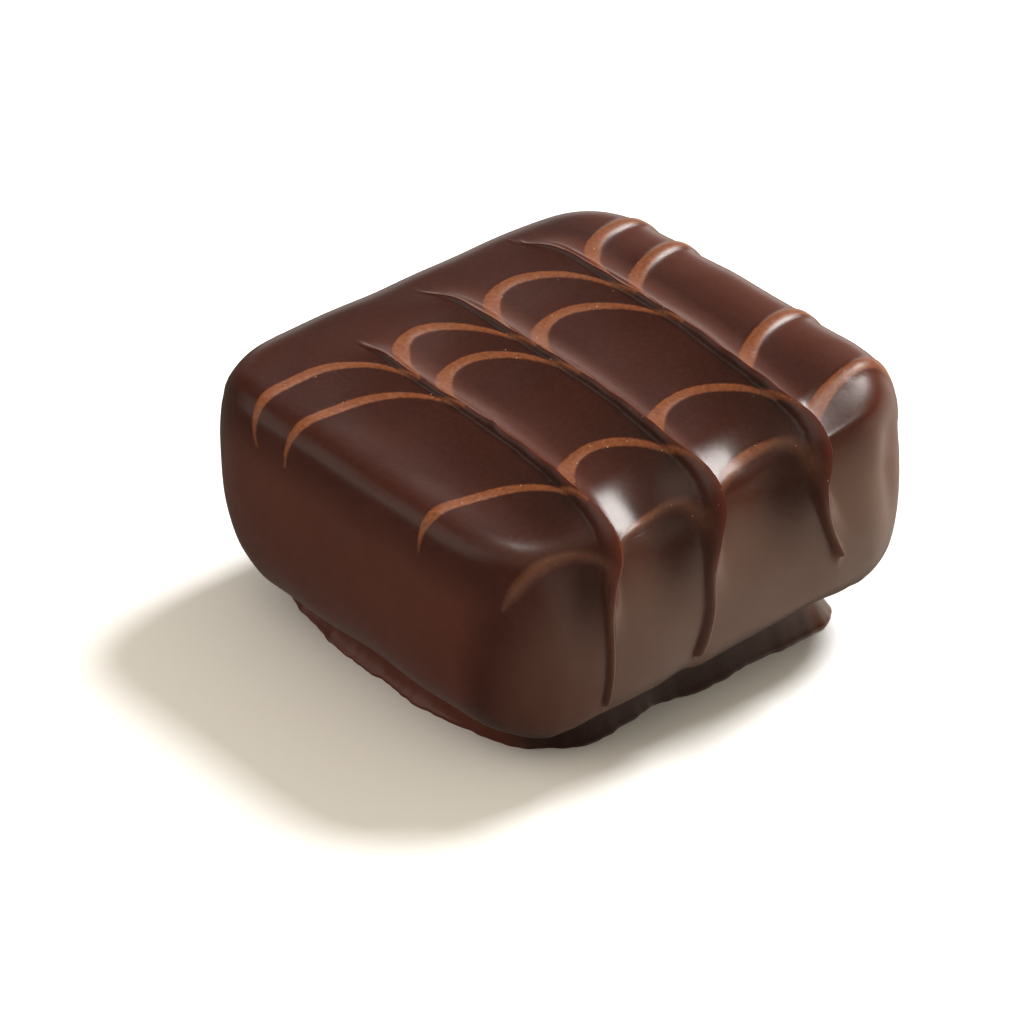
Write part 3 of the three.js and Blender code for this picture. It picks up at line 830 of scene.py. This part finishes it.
def painted_shade(across, along):
    """The share of painted shade, a darker coat: left of each ridge, under the front edge and beside the
    drips.
    """
    forward = -along
    shaded_share = np.zeros_like(across)
    # painted shade on the left flank of each ridge, more towards the front
    left_flank_shade = LEFT_FLANK_SHADE_AT_BACK + LEFT_FLANK_SHADE_MORE_IN_FRONT * ease(forward, *LEFT_FLANK_SHADE_GROWS)
    # painted shade under the front edge, left of each nose
    under = UNDER_EDGE_SHADE * band(forward, UNDER_EDGE_COMES, UNDER_EDGE_GOES)
    for k, (start, end) in enumerate(zip(RIDGE_STARTS, DRIP_ENDS)):
        offset = across - ridge_across(k, along)
        begun = band(forward, (start, start + TONES_RAMP), TONES_STOP)
        shaded_share = np.maximum(shaded_share, left_flank_shade * begun * band(offset, LEFT_FLANK_SHADE_COMES, CREST_LEFT_SIDE))
        shaded_share = np.maximum(shaded_share, under * band(offset, UNDER_EDGE_LEFT, CREST_LEFT_SIDE))
        # a painted shadow left of each drip
        beside = band(forward, DRIP_BEGINS, (end - DRIP_TIP, end))
        beside = beside * hump(offset, BESIDE_DRIP_OFFSET, BESIDE_DRIP_HALF)
        shaded_share = np.maximum(shaded_share, DRIP_SHADOW * beside)
    return shaded_share


def crest_tone(across, along):
    """The share of a worked, reddish brown on the crests and, less, on the drips."""
    forward = -along
    half = glide(forward, STATIONS, CREST_HALF_WIDTHS)
    on_ridge = 1 - DRIP_TONE_LOSS * ease(forward, *DRIP_BEGINS)
    crest = np.zeros_like(across)
    for k, (start, end) in enumerate(zip(RIDGE_STARTS, DRIP_ENDS)):
        begun = band(forward, (start, start + RIDGE_RAMP), (end, end + CREST_TONE_ENDS))
        middle = ridge_across(k, along) + CREST_RIGHT_SHIFT
        crest = np.maximum(crest, on_ridge * begun * hump(across, middle, CREST_TONE_WIDTH * half))
    return crest


def coat_layers(points, skin):
    """The numbers that the material reads at each point: 0 to 1, but for the distance from the lines."""
    across, along, edge = skin.T
    x, y, z = points.T
    forward = -along
    # the foot's shaded part under the overhang: painted darker, and duller
    foot = (1 - ease(z, *SHADED_FOOT_HEIGHTS)) * ease(x - y, *SHADED_FOOT_COMES)
    foot = foot * (1 - ease(x, *SHADED_FOOT_GOES))
    crest = crest_tone(across, along)
    shaded_share = painted_shade(across, along)

    # the lines fade as they go over the front edge, but not in the right lane
    faded = sum(share * ease(forward, begins, full) for share, begins, full in LINE_FADING)
    strength = 1 - (1 - ease(across, *LINE_KEEPS_FROM)) * faded

    # painted sheen: a greyish veil painted on the front wall and the front part of the right wall, for the
    # reflection of the bright floor
    on_front = ease(forward, *FRONT_SHEEN_DOWN) * ease(across, *FRONT_SHEEN_ACROSS)
    on_right = ease(across, *RIGHT_SHEEN_ACROSS)
    on_right = on_right * (1 - RIGHT_SHEEN_FADING * ease(along, *RIGHT_SHEEN_FADES))
    painted_sheen = PAINTED_SHEEN * np.maximum(on_front, on_right) * (1 - ease(forward, *SHEEN_ENDS))
    painted_sheen = painted_sheen * (1 - shaded_share) * (1 - foot) * (1 - CREST_SHEEN_LOSS * crest)
    return {
        "line_edge": edge,
        "crest": crest,
        "line_strength": strength,
        "painted_light": painted_light(across, along),
        "painted_shade": np.maximum(shaded_share, SHADED_FOOT_DARKENING * foot),
        "painted_sheen": painted_sheen,
        "foot": foot,
    }


def coat():
    """The bonbon's whole skin as one closed mesh, with the numbers that its material reads."""
    points, skin, quads, under = coat_points()
    mesh = bpy.data.meshes.new("bonbon_coat")
    mesh.from_pydata((points * MM).tolist(), [], quads.tolist() + under.tolist())
    mesh.update()
    mesh.polygons.foreach_set("use_smooth", np.ones(len(mesh.polygons), bool))
    for name, values in coat_layers(points, skin).items():
        layer = mesh.attributes.new(name, "FLOAT", "POINT")
        layer.data.foreach_set("value", values.astype(np.float32))
    mesh.materials.append(enrobed_chocolate())
    piece = bpy.data.objects.new("bonbon_coat", mesh)
    bpy.context.scene.collection.objects.link(piece)
    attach(piece, "root")
    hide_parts("bonbon")


def pale_floor():
    """A wide sheet of uncoated white paper under the bonbon: hardly any gloss, faint clouds of 30 mm."""
    material, tree, shader = new_material("white_paper")
    place = node(tree, "ShaderNodeTexCoord", {}, "Object")
    cloud_inputs = {"Vector": place, "Scale": 1 / (30.0 * MM), "Detail": 2.0}
    clouds = node(tree, "ShaderNodeTexNoise", cloud_inputs, "Fac")
    greys = {0: clouds, 6: (0.9, 0.9, 0.89, 1), 7: (0.93, 0.93, 0.925, 1)}
    colour = node(tree, "ShaderNodeMix", greys, 2, data_type="RGBA")
    tree.links.new(colour, shader.inputs["Base Color"])
    shader.inputs["Roughness"].default_value = 0.9
    shader.inputs["Specular IOR Level"].default_value = 0.1
    mesh = bpy.data.meshes.new("floor")
    corners = [(x * FLOOR_REACH, y * FLOOR_REACH, 0) for x, y in ((-1, -1), (1, -1), (1, 1), (-1, 1))]
    mesh.from_pydata(corners, [], [(0, 1, 2, 3)])
    mesh.materials.append(material)
    floor = bpy.data.objects.new("floor", mesh)
    bpy.context.scene.collection.objects.link(floor)
    floor.visible_glossy = False


def outward(azimuth, elevation):
    """The unit vector at an azimuth from +X towards +Y and an elevation above the floor, in degrees."""
    a = math.radians(azimuth)
    e = math.radians(elevation)
    return Vector((math.cos(a) * math.cos(e), math.sin(a) * math.cos(e), math.sin(e)))


def lamp(name, kind, toward, strength, colour):
    """A light of a kind that shines on the bonbon from a direction."""
    light = bpy.data.lights.new(name, kind)
    light.energy = strength
    light.color = colour
    made = bpy.data.objects.new(name, light)
    made.rotation_euler = toward.to_track_quat("Z", "Y").to_euler()
    bpy.context.scene.collection.objects.link(made)
    return made


def sun(name, azimuth, elevation, spread, strength, colour):
    """A far soft light, with its spread in degrees."""
    made = lamp(name, "SUN", outward(azimuth, elevation), strength, colour)
    made.data.angle = math.radians(spread)
    return made


def soft_box(name, azimuth, elevation, distance, size, strength, colour):
    """A lit rectangle that faces the bonbon, with its distance and size in metres."""
    made = lamp(name, "AREA", outward(azimuth, elevation), strength, colour)
    made.location = outward(azimuth, elevation) * distance
    made.data.shape = "RECTANGLE"
    made.data.size, made.data.size_y = size
    return made


def surroundings():
    """Dim warm surroundings: a faint lobe overhead, and near the floor a glow from the front right."""
    world = bpy.data.worlds.new("studio")
    world.use_nodes = True
    tree = world.node_tree
    direction = node(tree, "ShaderNodeTexCoord", {}, "Generated")
    toward = {
        name: node(tree, "ShaderNodeVectorMath", {0: direction, 1: axis}, "Value", operation="DOT_PRODUCT")
        for name, axis in (("top", (-0.35, -0.2, 0.91)), ("front", (0.76, -0.53, 0.3)), ("up", (0, 0, 1)))
    }
    above = node(tree, "ShaderNodeMapRange", {0: toward["top"], 1: 0.2, 2: 1.0, 3: 0.04, 4: 0.37})
    glow = node(tree, "ShaderNodeMapRange", {0: toward["front"], 1: 0.05, 2: 0.6, 3: 0.17, 4: 1.62})
    low = node(tree, "ShaderNodeMapRange", {0: toward["up"], 1: 0.38, 2: 0.1})
    strength = node(tree, "ShaderNodeMix", {0: low, 2: above, 3: glow}, data_type="FLOAT")
    background = tree.nodes["Background"]
    background.inputs["Color"].default_value = (1.0, 0.92, 0.78, 1)
    tree.links.new(strength, background.inputs["Strength"])
    bpy.context.scene.world = world


def studio():
    """One soft key from the right, a broad light overhead, and soft boxes behind and on the left.

    The key is two lamps: one lights the coat and the floor, a smaller one gives the coat its highlights.
    """
    key = sun("key", azimuth=0, elevation=50, spread=19, strength=4.6, colour=(1.0, 1.0, 1.0))
    key.visible_glossy = False
    gloss = sun("key_gloss", azimuth=12, elevation=59, spread=16, strength=5.6, colour=(1.0, 0.98, 0.95))
    gloss.visible_diffuse = False
    sun("overhead", azimuth=-110, elevation=72, spread=80, strength=0.95, colour=(1.0, 0.88, 0.68))
    soft_box("back_strip", 40, 6, distance=0.8, size=(0.8, 0.25), strength=1.0, colour=(1.0, 0.95, 0.9))
    soft_box("left_box", 150, 36, distance=0.8, size=(0.9, 0.5), strength=2.4, colour=(1.0, 0.9, 0.8))
    surroundings()
    bpy.context.scene.view_settings.view_transform = "Standard"


def camera():
    """A long lens, 280 mm away, from the left front and 32 degrees above."""
    back = outward(CAMERA_AZIMUTH - 90, CAMERA_ELEVATION)
    lens = bpy.data.cameras.new("camera")
    lens.lens = LENS_MM
    lens.clip_start = NEAREST_SEEN
    eye = bpy.data.objects.new("camera", lens)
    eye.location = Vector(CAMERA_TARGET) + back * CAMERA_DISTANCE
    eye.rotation_euler = (-back).to_track_quat("-Z", "Y").to_euler()
    bpy.context.scene.collection.objects.link(eye)
    bpy.context.scene.camera = eye


camera()
coat()
pale_floor()
studio()

bpy.context.view_layer.update()
